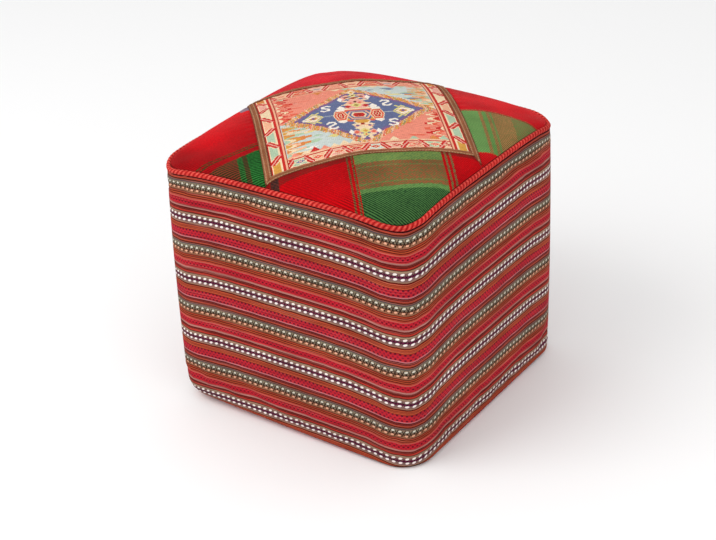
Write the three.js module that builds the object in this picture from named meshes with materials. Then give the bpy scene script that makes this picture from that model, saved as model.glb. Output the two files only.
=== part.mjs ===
// A square kilim pouf: a filled cushion with striped sides, a crowned patchwork top and a corded seam.
// Millimetres, +Z up, the origin on the floor under the middle of the pouf.
// The -Y side and the +X side meet at the front corner.
import * as THREE from 'three';

// Overall sizes, from cloth to cloth
const sideLength = 400;
const seamHeight = 363;
const crownRise = 32;
const cornerRadius = 48;

// How the filling shapes the cloth
const crownSharpness = 2.4;
const crownLean = 0.12;
const clothLift = 2;
const edgeSwell = 5;
const edgeSwellWidth = 6;
const backDip = 5;
const backDipWidth = 120;
const seamDroop = 14.6;
const droopSharpness = 4;
const sideBulge = 2;
const bottomRadius = 4.5;
const softCornerRadius = 30;
const softCornerSharpness = 1.5;

// Cloth, cord and tape. The wider gaps keep faceted neighbours at least the piece gap apart
const clothThickness = 2;
const pieceGap = 0.3;
const clothGap = 0.5;
const pipingGap = 0.4;
const backingGap = 0.8;
const pipingRadius = 3.6;
const pipingInset = 2.6;
const tapeStandsProud = 0.6;

// The patchwork of the top, anticlockwise from its right-hand side. Each row is one side: the panel's
// corner where the side starts, how far along the seam past the middle of the pouf's side the seam
// between two tapes runs out, the width of the tape, and how far the stretched cloth bows it inwards
const patchSides = [
  { name: 'right', x: 171, y: 0, seamShift: -8, tapeWidth: 10.5, bow: 0 },
  { name: 'back', x: 8, y: 178, seamShift: -9, tapeWidth: 9.5, bow: 0 },
  { name: 'left', x: -176, y: -3, seamShift: 3, tapeWidth: 10, bow: 0 },
  { name: 'front', x: -15, y: -180, seamShift: -17, tapeWidth: 7.5, bow: 7 },
];

// Steps of the meshes
const flatSteps = 6;
const cornerSteps = 8;
const sideSteps = 8;
const crownSteps = 8;
const crownStepGrowth = 1.2;
const roundingSteps = 4;
const pipingSides = 8;
const panelSteps = 20;
const tapeSteps = 20;
const cornerPieceSteps = 20;
const cornerPieceRows = 7;
const endCrowding = 0.88;

// The slope of the top is read over this step, just inside each point
const slopeStep = 0.5;
const slopeInset = 0.995;

// A turn this close to a whole quarter counts as that quarter
const turnTolerance = 1e-6;

// Sizes worked out from those above
const half = sideLength / 2;
const flatHalf = half - cornerRadius;
const cornerTip = 2 * (half - cornerRadius * (1 - Math.SQRT1_2));
const turnSteps = 4 * (2 * flatSteps + cornerSteps);
const shoulderInset = pipingInset + pipingRadius + pieceGap;
const clothInset = shoulderInset + pieceGap;
const clothCornerRadius = cornerRadius - clothInset;

// How much a plan point lies in a corner: 0 along the middle of a side, near 1 in the corner itself
function cornerness(x, y) {
  return (Math.min(Math.abs(x), Math.abs(y)) / half) ** droopSharpness;
}

// How far the seam sags along the two back sides
function sagBehind(x, y) {
  return backDip * THREE.MathUtils.smoothstep((y - x) * Math.SQRT1_2, 0, backDipWidth);
}

// Height of the top seam beside a plan point
function seamZ(x, y) {
  return seamHeight - seamDroop * cornerness(x, y) - sagBehind(x, y);
}

// How far a plan point lies in from the edge of the top cloth
function edgeDistance(x, y) {
  const dx = Math.abs(x) - flatHalf;
  const dy = Math.abs(y) - flatHalf;
  const past = Math.hypot(Math.max(dx, 0), Math.max(dy, 0));
  return Math.max(clothCornerRadius - past - Math.min(Math.max(dx, dy), 0), 0);
}

// Height of the outer face of the top cloth: a broad crown that leans a little to the left,
// and a quick swell where the cloth rises from the seam
function topZ(x, y) {
  const acrossX = 1 - Math.min(Math.abs(x) / half, 1) ** crownSharpness;
  const acrossY = 1 - Math.min(Math.abs(y) / half, 1) ** crownSharpness;
  const crown = crownRise * acrossX * acrossY * (1 - (crownLean * x) / half);
  const swell = (edgeSwell + sagBehind(x, y)) * (1 - Math.exp(-edgeDistance(x, y) / edgeSwellWidth));
  return seamZ(x, y) + clothLift + crown + swell;
}

// A point at a depth under the outer face of the top cloth, measured square to it
function topPoint(plan, depth) {
  const x = plan.x * slopeInset;
  const y = plan.y * slopeInset;
  const slopeX = (topZ(x + slopeStep, y) - topZ(x - slopeStep, y)) / (2 * slopeStep);
  const slopeY = (topZ(x, y + slopeStep) - topZ(x, y - slopeStep)) / (2 * slopeStep);
  const normal = new THREE.Vector3(-slopeX, -slopeY, 1).normalize();
  return new THREE.Vector3(plan.x, plan.y, topZ(plan.x, plan.y)).addScaledVector(normal, -depth);
}

// A point of the rounded square plan, drawn in by inset; turn runs once round from 0 to 1
function planPoint(turn, inset) {
  const quarter = Math.floor(turn * 4 + turnTolerance);
  const along = turn * 4 - quarter;
  const flatShare = flatSteps / (2 * flatSteps + cornerSteps);
  const reach = half - inset;
  const radius = cornerRadius - inset;
  const point = new THREE.Vector2(reach, (flatHalf * along) / flatShare);
  if (along > 1 - flatShare) {
    point.set((flatHalf * (1 - along)) / flatShare, reach);
  } else if (along > flatShare) {
    const angle = ((along - flatShare) / (1 - 2 * flatShare)) * (Math.PI / 2);
    point.set(flatHalf + radius * Math.cos(angle), flatHalf + radius * Math.sin(angle));
  }
  return point.rotateAround(new THREE.Vector2(), (quarter * Math.PI) / 2);
}

// Moves every point of a closed geometry to the place that a function gives for it
function reshape(geometry, place) {
  const position = geometry.getAttribute('position');
  for (let i = 0; i < position.count; i += 1) {
    const point = place(new THREE.Vector3().fromBufferAttribute(position, i), i);
    position.setXYZ(i, point.x, point.y, point.z);
  }
  geometry.deleteAttribute('normal');
  geometry.deleteAttribute('uv');
  return geometry;
}

// A closed solid from plan rings listed from the bottom to the top; each ring places a turn,
// and the first and the last lie in one point on the axis
function ringSolid(rings) {
  const last = rings.length - 1;
  const profile = rings.map((ring, j) => new THREE.Vector2(j === 0 || j === last ? 0 : 1, j));
  const lathe = new THREE.LatheGeometry(profile, turnSteps);
  return reshape(lathe, (point, i) => {
    const turn = (Math.floor(i / rings.length) % turnSteps) / turnSteps;
    return rings[i % rings.length](turn);
  });
}

// Radius of the bottom edge: small all round, but wide at the left corner, where the filling is slack
function bottomRounding(turn) {
  const plan = planPoint(turn, 0);
  const leftward = Math.max(-(plan.x + plan.y) / cornerTip, 0) ** softCornerSharpness;
  return bottomRadius + (softCornerRadius - bottomRadius) * leftward;
}

// A point on the middle axis, where a solid begins or ends
function axisPoint(z) {
  return () => new THREE.Vector3(0, 0, z);
}

// The level ring where the rounding of the bottom edge meets the underside
function footRing(z) {
  return (turn) => {
    const plan = planPoint(turn, bottomRounding(turn));
    return new THREE.Vector3(plan.x, plan.y, z);
  };
}

// A ring on the rounding: angle is 0 at the underside and a right angle at the side
function roundingRing(angle, floorZ) {
  return (turn) => {
    const radius = bottomRounding(turn);
    const plan = planPoint(turn, radius * (1 - Math.sin(angle)));
    return new THREE.Vector3(plan.x, plan.y, floorZ + radius * (1 - Math.cos(angle)));
  };
}

// A ring of the sides: share runs from 0 at the rounding to 1 under the piping
function sideRing(share, floorZ) {
  return (turn) => {
    const plan = planPoint(turn, -sideBulge * 4 * share * (1 - share));
    const bottom = floorZ + bottomRounding(turn);
    return new THREE.Vector3(plan.x, plan.y, bottom + (underPipingZ(plan) - bottom) * share);
  };
}

// Height at which the body passes under the piping
function underPipingZ(plan) {
  return seamZ(plan.x, plan.y) - pipingRadius - pipingGap;
}

// The inner end of the shelf under the piping
function shelfRing(turn) {
  const plan = planPoint(turn, shoulderInset);
  return new THREE.Vector3(plan.x, plan.y, underPipingZ(plan));
}

// A ring of the crown under the top cloth, scaled in towards the middle
function crownRing(scale) {
  return (turn) => {
    const plan = planPoint(turn, shoulderInset).multiplyScalar(scale);
    return topPoint(plan, clothThickness + backingGap);
  };
}

// The filled cushion, whose sides are the striped band
function stripedBody() {
  const floorZ = clothThickness + pieceGap;
  const rings = [axisPoint(floorZ)];
  for (let i = 0; i <= roundingSteps; i += 1) {
    rings.push(roundingRing((i / roundingSteps) * (Math.PI / 2), floorZ));
  }
  for (let i = 1; i <= sideSteps; i += 1) {
    rings.push(sideRing(i / sideSteps, floorZ));
  }
  rings.push(shelfRing);
  for (let i = 0; i < crownSteps; i += 1) {
    rings.push(crownRing(1 - (i / crownSteps) ** crownStepGrowth));
  }
  rings.push(crownRing(0));
  return ringSolid(rings);
}

// The flat cloth that the pouf stands on
function basePanel() {
  return ringSolid([axisPoint(0), footRing(0), footRing(clothThickness), axisPoint(clothThickness)]);
}

// The corded seam: a ring of round section that follows the seam round the top
function topPiping() {
  const torus = new THREE.TorusGeometry(half, pipingRadius, pipingSides, turnSteps);
  return reshape(torus, (point) => {
    const angle = Math.atan2(point.y, point.x);
    const turn = (Math.round((angle / (2 * Math.PI)) * turnSteps) + turnSteps) % turnSteps;
    const outward = Math.hypot(point.x, point.y) - half;
    const plan = planPoint(turn / turnSteps, pipingInset - outward);
    return new THREE.Vector3(plan.x, plan.y, seamZ(plan.x, plan.y) + point.z);
  });
}

// Spreads even steps from -1 to 1 so that they lie closer towards both ends, where the cloth bends most
function crowded(share) {
  return Math.sin(share * endCrowding * (Math.PI / 2)) / Math.sin(endCrowding * (Math.PI / 2));
}

// A sheet laid on the crown, its upper face proud of the cloth round it; cut gives the plan point
// for u, from 0 on the panel's side to 1 on the seam's side, and v, running anticlockwise
function topSheet(stepsU, stepsV, proud, cut) {
  const box = new THREE.BoxGeometry(1, 1, 1, stepsU, stepsV, 1);
  return reshape(box, (point) => (
    topPoint(cut(point.x + 0.5, point.y + 0.5), point.z > 0 ? -proud : clothThickness)
  ));
}

// One side of the panel: its two corners, its direction, and its length
function panelSide(index) {
  const side = patchSides[index];
  const next = patchSides[(index + 1) % patchSides.length];
  const from = new THREE.Vector2(side.x, side.y);
  const along = new THREE.Vector2(next.x, next.y).sub(from);
  const length = along.length();
  along.normalize();
  return { from, along, length, outward: new THREE.Vector2(along.y, -along.x), bow: side.bow };
}

// A point beside one side of the panel: share runs from corner to corner, out is measured outwards
function sidePoint(index, share, out) {
  const { from, along, length, outward, bow } = panelSide(index);
  const bowed = out - bow * 4 * share * (1 - share);
  return from.clone().addScaledVector(along, length * share).addScaledVector(outward, bowed);
}

// Where, round the seam, the joint between two tapes runs out
function jointTurn(index) {
  const shift = patchSides[index % patchSides.length].seamShift / flatHalf;
  return (index + (shift * flatSteps) / (2 * flatSteps + cornerSteps)) / 4;
}

// The share of a side at which the joint at one of its ends crosses the line that lies out from it
function jointShare(index, atEnd, out) {
  const { along, length, outward } = panelSide(index);
  const corner = patchSides[(index + atEnd) % patchSides.length];
  const joint = planPoint(jointTurn(index + atEnd), clothInset);
  joint.sub(new THREE.Vector2(corner.x, corner.y));
  return atEnd + (joint.dot(along) * out) / (joint.dot(outward) * length);
}

// A point on the line that lies out from a side, v running from joint to joint
function betweenJoints(index, out, v) {
  const gap = pieceGap / panelSide(index).length;
  const start = jointShare(index, 0, out) + gap;
  const end = jointShare(index, 1, out) - gap;
  return sidePoint(index, start + ((end - start) * (crowded(2 * v - 1) + 1)) / 2, out);
}

// The woven panel in the middle, blended from its four sides
function kilimPanel() {
  const corners = patchSides.map(({ x, y }) => new THREE.Vector2(x, y));
  const inset = -clothGap;
  return topSheet(panelSteps, panelSteps, 0, (u, v) => {
    const s = (crowded(2 * u - 1) + 1) / 2;
    const t = (crowded(2 * v - 1) + 1) / 2;
    const point = new THREE.Vector2();
    point.addScaledVector(sidePoint(3, s, inset), 1 - t).addScaledVector(sidePoint(1, 1 - s, inset), t);
    point.addScaledVector(sidePoint(2, 1 - t, inset), 1 - s).addScaledVector(sidePoint(0, t, inset), s);
    point.addScaledVector(corners[0], -s * (1 - t)).addScaledVector(corners[1], -s * t);
    return point.addScaledVector(corners[2], -(1 - s) * t).addScaledVector(corners[3], -(1 - s) * (1 - t));
  });
}

// One of the four tapes round the panel, jointed to the next ones on the diagonal
function frameTape(index) {
  return topSheet(2, tapeSteps, tapeStandsProud, (u, v) => (
    betweenJoints(index, patchSides[index].tapeWidth * u, v)
  ));
}

// One of the four corner pieces of plaid, from its tape out to the seam, its rows closer at the seam
function plaidCorner(index) {
  const inner = patchSides[index].tapeWidth + clothGap;
  const gap = pieceGap / (4 * half);
  const start = jointTurn(index) + gap;
  const end = jointTurn(index + 1) - gap;
  return topSheet(cornerPieceRows, cornerPieceSteps, 0, (u, v) => {
    const seam = planPoint(start + (end - start) * v, clothInset);
    return betweenJoints(index, inner, v).lerp(seam, crowded(u));
  });
}

// Matt cloth of one colour
function cloth(colour, roughness = 0.95) {
  return new THREE.MeshStandardMaterial({ color: colour, roughness, metalness: 0 });
}

// A piece of the pouf under its own name
function named(name, geometry, material) {
  const mesh = new THREE.Mesh(geometry, material);
  mesh.name = name;
  return mesh;
}

const pouf = new THREE.Group();
pouf.add(named('striped_body', stripedBody(), cloth('#a8343a')));
pouf.add(named('base_panel', basePanel(), cloth('#3a322c')));
pouf.add(named('top_piping', topPiping(), cloth('#d8463c', 0.9)));
pouf.add(named('kilim_panel', kilimPanel(), cloth('#d98f72')));

patchSides.forEach(({ name }, index) => {
  pouf.add(named(`frame_tape_${name}`, frameTape(index), cloth('#8a5a3c')));
  pouf.add(named(`plaid_corner_${name}`, plaidCorner(index), cloth('#b3202a')));
});

export default pouf;
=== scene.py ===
# A square kilim pouf: striped sides, a crowned patchwork top set on point, and a corded seam.
# Sizes are in millimetres until a mesh is made. +Z is up; the -Y and +X sides meet at the front corner.
import math

import bpy
import numpy as np
from mathutils import Matrix, Vector


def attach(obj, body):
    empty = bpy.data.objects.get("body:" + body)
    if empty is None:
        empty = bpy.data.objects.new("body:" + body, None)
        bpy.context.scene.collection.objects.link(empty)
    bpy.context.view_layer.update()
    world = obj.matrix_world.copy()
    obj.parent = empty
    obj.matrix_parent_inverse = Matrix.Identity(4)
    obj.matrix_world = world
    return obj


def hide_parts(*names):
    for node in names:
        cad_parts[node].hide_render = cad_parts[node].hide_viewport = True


millimetre = 0.001
tiny = 1e-6  # keeps powers and divisions away from zero

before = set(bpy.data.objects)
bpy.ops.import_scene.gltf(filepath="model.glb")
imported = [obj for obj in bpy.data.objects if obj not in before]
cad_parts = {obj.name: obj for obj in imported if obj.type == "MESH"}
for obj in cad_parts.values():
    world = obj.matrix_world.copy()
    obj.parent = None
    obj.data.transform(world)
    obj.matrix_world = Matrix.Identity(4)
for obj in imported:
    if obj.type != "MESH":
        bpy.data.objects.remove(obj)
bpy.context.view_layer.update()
print("frame loaded:", len(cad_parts), "nodes")

scene = bpy.context.scene
scene.view_settings.view_transform = "Standard"


# Camera, light and floor

view = {
    "azimuth": 34.99,
    "elevation": 28.26,
    "roll": -2.62,
    "distance": 2375.59,
    "aimRight": 10.40,
    "aimUp": 34.95,
    "aimHeight": 200,
    "focalPixels": 1704.67,
    "imageWidth": 716,
    "sensorWidth": 36,
}


def makeCamera():
    azimuth, elevation, roll = (math.radians(view[k]) for k in ("azimuth", "elevation", "roll"))
    back = Vector((
        math.sin(azimuth) * math.cos(elevation),
        -math.cos(azimuth) * math.cos(elevation),
        math.sin(elevation),
    ))
    right = Vector((0, 0, 1)).cross(back).normalized()
    up = back.cross(right)
    turned = Matrix((
        right * math.cos(roll) + up * math.sin(roll),
        up * math.cos(roll) - right * math.sin(roll),
        back,
    ))
    offset = Vector((view["aimRight"], view["aimUp"], -view["distance"]))
    place = Vector((0, 0, view["aimHeight"])) - turned.transposed() @ offset
    data = bpy.data.cameras.new("camera")
    data.sensor_width = view["sensorWidth"]
    data.lens = view["focalPixels"] * view["sensorWidth"] / view["imageWidth"]
    camera = bpy.data.objects.new("camera", data)
    camera.rotation_mode = "QUATERNION"
    camera.rotation_quaternion = turned.transposed().to_quaternion()
    camera.location = place * millimetre
    scene.collection.objects.link(camera)
    scene.camera = camera


# places and sizes of the studio are in metres
studio = {
    "skyColour": (1.0, 1.0, 1.0),
    "skyStrength": 0.85,
    "lights": [
        {"name": "keyLight", "place": (-0.9, -1.6, 2.1), "size": 1.6, "power": 30},
        {"name": "fillLight", "place": (2.0, -0.9, 1.2), "size": 2.0, "power": 9},
    ],
    "lightAim": (0, 0, 0.2),
    "floorSize": 40,
    "floorColour": (0.93, 0.93, 0.93),
    "floorRoughness": 0.9,
}


def makeSky():
    world = bpy.data.worlds.new("studio")
    world.use_nodes = True
    sky = world.node_tree.nodes["Background"]
    sky.inputs["Color"].default_value = (*studio["skyColour"], 1)
    sky.inputs["Strength"].default_value = studio["skyStrength"]
    scene.world = world


def addAreaLight(name, place, size, power):
    data = bpy.data.lights.new(name, "AREA")
    data.size = size
    data.energy = power
    lamp = bpy.data.objects.new(name, data)
    lamp.location = place
    lamp.rotation_euler = (Vector(studio["lightAim"]) - Vector(place)).to_track_quat("-Z", "Y").to_euler()
    scene.collection.objects.link(lamp)


def makeFloor():
    reach = studio["floorSize"] / 2
    mesh = bpy.data.meshes.new("floor")
    corners = [(-reach, -reach, 0), (reach, -reach, 0), (reach, reach, 0), (-reach, reach, 0)]
    mesh.from_pydata(corners, [], [(0, 1, 2, 3)])
    floor = bpy.data.objects.new("floor", mesh)
    scene.collection.objects.link(floor)
    paint = bpy.data.materials.new("floorPaint")
    paint.use_nodes = True
    shader = paint.node_tree.nodes["Principled BSDF"]
    shader.inputs["Base Color"].default_value = (*studio["floorColour"], 1)
    shader.inputs["Roughness"].default_value = studio["floorRoughness"]
    mesh.materials.append(paint)


makeCamera()
makeSky()
for light in studio["lights"]:
    addAreaLight(**light)
makeFloor()
print("camera and studio ready")


# The form of the pouf, as its solids have it

form = {
    "half": 200,
    "cornerRadius": 48,
    "seamHeight": 363,
    # the crown of the top over its seam: it leans to the left and swells just inside the cord
    "crownRise": 32,
    "crownSharpness": 2.4,
    "crownLean": 0.12,
    "clothLift": 2,
    "edgeSwell": 5,
    "edgeSwellWidth": 6,
    # the seam sags toward the back corner, and drops at all four corners
    "backDip": 5,
    "backDipWidth": 120,
    "seamDroop": 14.6,
    "droopSharpness": 4,
    "cornerBlend": 32,
    "sideBulge": 2,
    # the drawn-in bottom edge is softer toward the left corner
    "bottomRadius": 4.5,
    "softCornerRadius": 30,
    "softCornerSharpness": 1.5,
    "floorZ": 2.3,
    "clothThickness": 2,
    "pieceGap": 0.3,
    "pipingGap": 0.4,
    "backingGap": 0.8,
    "pipingRadius": 3.6,
    "pipingInset": 2.6,
    "lumpHeight": 1.3,
    "lumpSize": 60,
    "lumpSeed": 3,
    # how far the plaid reaches under the cord, and the plaid and the panel under the tapes
    "tuck": 1.4,
    "underTape": 0.8,
    # the front corner's own radius, and the heights where it sets in, is reached, is left and has gone
    "frontRadius": 21,
    "frontFade": (12, 120, 255, 354),
}
half = form["half"]
flatHalf = half - form["cornerRadius"]
cornerTip = 2 * (half - form["cornerRadius"] * (1 - math.sqrt(0.5)))
shoulderInset = form["pipingInset"] + form["pipingRadius"] + form["pieceGap"]
clothInset = shoulderInset + form["pieceGap"]
cornerArc = form["cornerRadius"] * math.pi / 2
perimeter = 4 * (2 * flatHalf + cornerArc)
backCorner = perimeter * 3 / 8

# The patchwork, anticlockwise from its right-hand side: the panel's corner where each side starts,
# how far past the middle of the pouf's side the joint runs out, the tape's width, and the inward bow
patchSides = [
    {"name": "right", "corner": (171, 0), "seamShift": -8, "tapeWidth": 10.5, "bow": 0},
    {"name": "back", "corner": (8, 178), "seamShift": -9, "tapeWidth": 9.5, "bow": 0},
    {"name": "left", "corner": (-176, -3), "seamShift": 3, "tapeWidth": 10, "bow": 0},
    {"name": "front", "corner": (-15, -180), "seamShift": -17, "tapeWidth": 7.5, "bow": 7},
]


def eased(share):
    # a share from 0 to 1, made to start and end gently
    return share * share * (3 - 2 * share)


def arched(share):
    # 0 at both ends of a share and 1 in its middle
    return 4 * share * (1 - share)


def cornerness(x, y):
    # how far into a corner a point of the plan is, from 0 at the axes to 1 at a square corner
    blend = form["cornerBlend"]
    lesser = ((abs(x) / half + tiny) ** -blend + (abs(y) / half + tiny) ** -blend) ** (-1 / blend)
    return lesser ** form["droopSharpness"]


def sagBehind(x, y):
    return form["backDip"] * eased(np.clip((y - x) * math.sqrt(0.5) / form["backDipWidth"], 0, 1))


def seamZ(x, y):
    return form["seamHeight"] - form["seamDroop"] * cornerness(x, y) - sagBehind(x, y)


def edgeDistance(x, y):
    dx, dy = abs(x) - flatHalf, abs(y) - flatHalf
    past = np.hypot(np.maximum(dx, 0), np.maximum(dy, 0))
    return np.maximum(form["cornerRadius"] - clothInset - past - np.minimum(np.maximum(dx, dy), 0), 0)


def topZ(x, y):
    acrossX = 1 - np.minimum(abs(x) / half, 1) ** form["crownSharpness"]
    acrossY = 1 - np.minimum(abs(y) / half, 1) ** form["crownSharpness"]
    crown = form["crownRise"] * acrossX * acrossY * (1 - form["crownLean"] * x / half)
    swell = form["edgeSwell"] + sagBehind(x, y)
    swell = swell * (1 - np.exp(-edgeDistance(x, y) / form["edgeSwellWidth"]))
    edge = np.clip(edgeDistance(x, y) / form["lumpSize"], 0, 1)
    lumps = form["lumpHeight"] * edge * smoothNoise(x, y, form["lumpSize"], form["lumpSeed"])
    return seamZ(x, y) + form["clothLift"] + crown + swell + lumps


def topPoints(plan, lift):
    # points at a height over the crown, measured square to it; its slope is taken over a short step
    # and a little further in, so that it does not reach past the edge
    step, inset = 0.5, 0.995
    x, y = plan[..., 0] * inset, plan[..., 1] * inset
    slopeX = (topZ(x + step, y) - topZ(x - step, y)) / (2 * step)
    slopeY = (topZ(x, y + step) - topZ(x, y - step)) / (2 * step)
    normal = np.stack([-slopeX, -slopeY, np.ones_like(slopeX)], -1)
    normal /= np.linalg.norm(normal, axis=-1, keepdims=True)
    points = np.concatenate([plan, topZ(plan[..., 0], plan[..., 1])[..., None]], -1)
    return points + normal * np.asarray(lift)[..., None]


def planPoints(distance, inset=0.0, tight=0.0):
    # the rounded square plan, drawn in by inset; distance runs anticlockwise from the middle of the +X
    # side, and tight, from 0 to 1, draws the front corner to its own smaller radius
    roundOff = 1e-9
    distance = np.asarray(distance, float) % perimeter
    quarter = np.floor(distance / (perimeter / 4) + roundOff)
    outer = form["cornerRadius"] - (quarter == 3) * tight * (form["cornerRadius"] - form["frontRadius"])
    straight, arc = half - outer, outer * math.pi / 2
    along = (distance / (perimeter / 4) - quarter) * (2 * straight + arc)
    angle = np.clip((along - straight) / arc, 0, 1) * math.pi / 2
    before, after = np.minimum(along, straight), np.maximum(along - straight - arc, 0)
    radius = outer - inset
    x = straight + radius * np.cos(angle) - after
    y = before + radius * np.sin(angle)
    turn = quarter * math.pi / 2
    return np.stack([x * np.cos(turn) - y * np.sin(turn), x * np.sin(turn) + y * np.cos(turn)], -1)


def smoothNoise(x, y, cell, seed):
    # even rolling noise, mostly between -1 and 1, with lumps about a cell across
    waves, shortest, longest = 24, 1.2, 3.0
    rng = np.random.default_rng(seed)
    total = np.zeros(np.broadcast(x, y).shape)
    for _ in range(waves):
        angle, phase = rng.uniform(0, 2 * math.pi, 2)
        pitch = cell * rng.uniform(shortest, longest)
        total += np.sin((x * math.cos(angle) + y * math.sin(angle)) * 2 * math.pi / pitch + phase)
    return total / math.sqrt(waves / 2) / 2


# Meshes

def makePiece(name, points, faces, corners, material, node):
    # corners holds the cloth coordinates of every face corner, in metres of flat cloth
    mesh = bpy.data.meshes.new(name)
    mesh.from_pydata((np.asarray(points) * millimetre).tolist(), [], faces)
    layer = mesh.uv_layers.new(name="cloth")
    layer.data.foreach_set("uv", (np.asarray(corners, float) * millimetre).ravel())
    mesh.polygons.foreach_set("use_smooth", [True] * len(mesh.polygons))
    mesh.materials.append(material)
    mesh.validate()
    piece = bpy.data.objects.new(name, mesh)
    scene.collection.objects.link(piece)
    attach(piece, "root")
    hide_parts(node)
    return piece


def loopGrid(rows, columns, closed=False):
    # quads between rings of points, facing out when the rings climb; closed joins the last ring to the
    # first. The steps name the same corners by row and column, and count on past the last of each.
    faces, steps = [], []
    for row in range(rows if closed else rows - 1):
        base, above = row * columns, (row + 1) % rows * columns
        for column in range(columns):
            far = (column + 1) % columns
            faces.append((base + column, base + far, above + far, above + column))
            steps.append(((row, column), (row, column + 1), (row + 1, column + 1), (row + 1, column)))
    return faces, steps


def closeEnds(faces, rows, columns):
    # one face across each end of a stack of rings
    last = (rows - 1) * columns
    faces.append(tuple(range(columns - 1, -1, -1)))
    faces.append(tuple(range(last, last + columns)))


def coarseRing(row, column, coarse, stepsU, stepsV):
    # the corners of one coarse face, with all fine points that lie on the rim of the sheet
    lastRow, lastColumn = row + coarse, column + coarse
    ring = [(row, column)]
    ring += [(r, column) for r in range(row + 1, lastRow) if column == 0]
    ring += [(lastRow, column)]
    ring += [(lastRow, c) for c in range(column + 1, lastColumn) if lastRow == stepsV]
    ring += [(lastRow, lastColumn)]
    ring += [(r, lastColumn) for r in range(lastRow - 1, row, -1) if lastColumn == stepsU]
    ring += [(row, lastColumn)]
    ring += [(row, c) for c in range(lastColumn - 1, column, -1) if row == 0]
    return ring


def sheetPiece(name, grid, cut, clothPoint, lift, material, node):
    # a closed thin sheet: a fine upper face over a coarse lower one, joined round its edge
    stepsU, stepsV, coarse = grid["stepsAcross"], grid["stepsAlong"], grid["coarse"]
    v, u = np.meshgrid(np.linspace(0, 1, stepsV + 1), np.linspace(0, 1, stepsU + 1), indexing="ij")
    plan = cut(u, v)
    upper = topPoints(plan, lift(u, v, plan)).reshape(-1, 3)
    lower = topPoints(plan, np.full(u.shape, -form["clothThickness"])).reshape(-1, 3)
    flat = clothPoint(u, v, plan).reshape(-1, 2)
    across = stepsU + 1
    kept = {}
    points = list(upper)
    flats = list(flat)

    def under(row, column):
        # the lower point beneath a fine one, added when a face first asks for it
        key = row * across + column
        if key not in kept:
            kept[key] = len(points)
            points.append(lower[key])
            flats.append(flat[key])
        return kept[key]

    faces = []
    for row in range(stepsV):
        for column in range(stepsU):
            first = row * across + column
            faces.append((first, first + 1, first + across + 1, first + across))
    rim = [(0, c) for c in range(stepsU)] + [(r, stepsU) for r in range(stepsV)]
    rim += [(stepsV, c) for c in range(stepsU, 0, -1)] + [(r, 0) for r in range(stepsV, 0, -1)]
    for (rowA, columnA), (rowB, columnB) in zip(rim, rim[1:] + rim[:1]):
        upperA, upperB = rowA * across + columnA, rowB * across + columnB
        faces.append((upperB, upperA, under(rowA, columnA), under(rowB, columnB)))
    for row in range(0, stepsV, coarse):
        for column in range(0, stepsU, coarse):
            faces.append(tuple(under(r, c) for r, c in coarseRing(row, column, coarse, stepsU, stepsV)))
    corners = [flats[i] for face in faces for i in face]
    return makePiece(name, points, faces, corners, material, node)


# Materials

def linear(hexColour):
    # a colour of the sRGB curve as the shaders take it
    channels = [int(hexColour[i:i + 2], 16) / 255 for i in (1, 3, 5)]
    return tuple(c / 12.92 if c <= 0.04045 else ((c + 0.055) / 1.055) ** 2.4 for c in channels) + (1,)


class Value:
    # a number or colour that a material works out; arithmetic with it adds the nodes that do it

    def __init__(self, nodes, socket):
        self.nodes = nodes
        self.socket = socket

    def __add__(self, other):
        return self.nodes.calc("ADD", self, other)

    def __sub__(self, other):
        return self.nodes.calc("SUBTRACT", self, other)

    def __rsub__(self, other):
        return self.nodes.calc("SUBTRACT", other, self)

    def __mul__(self, other):
        return self.nodes.calc("MULTIPLY", self, other)

    def __truediv__(self, other):
        return self.nodes.calc("DIVIDE", self, other)

    def __lt__(self, other):
        return self.nodes.calc("LESS_THAN", self, other)

    def __abs__(self):
        return self.nodes.calc("ABSOLUTE", self)


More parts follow.
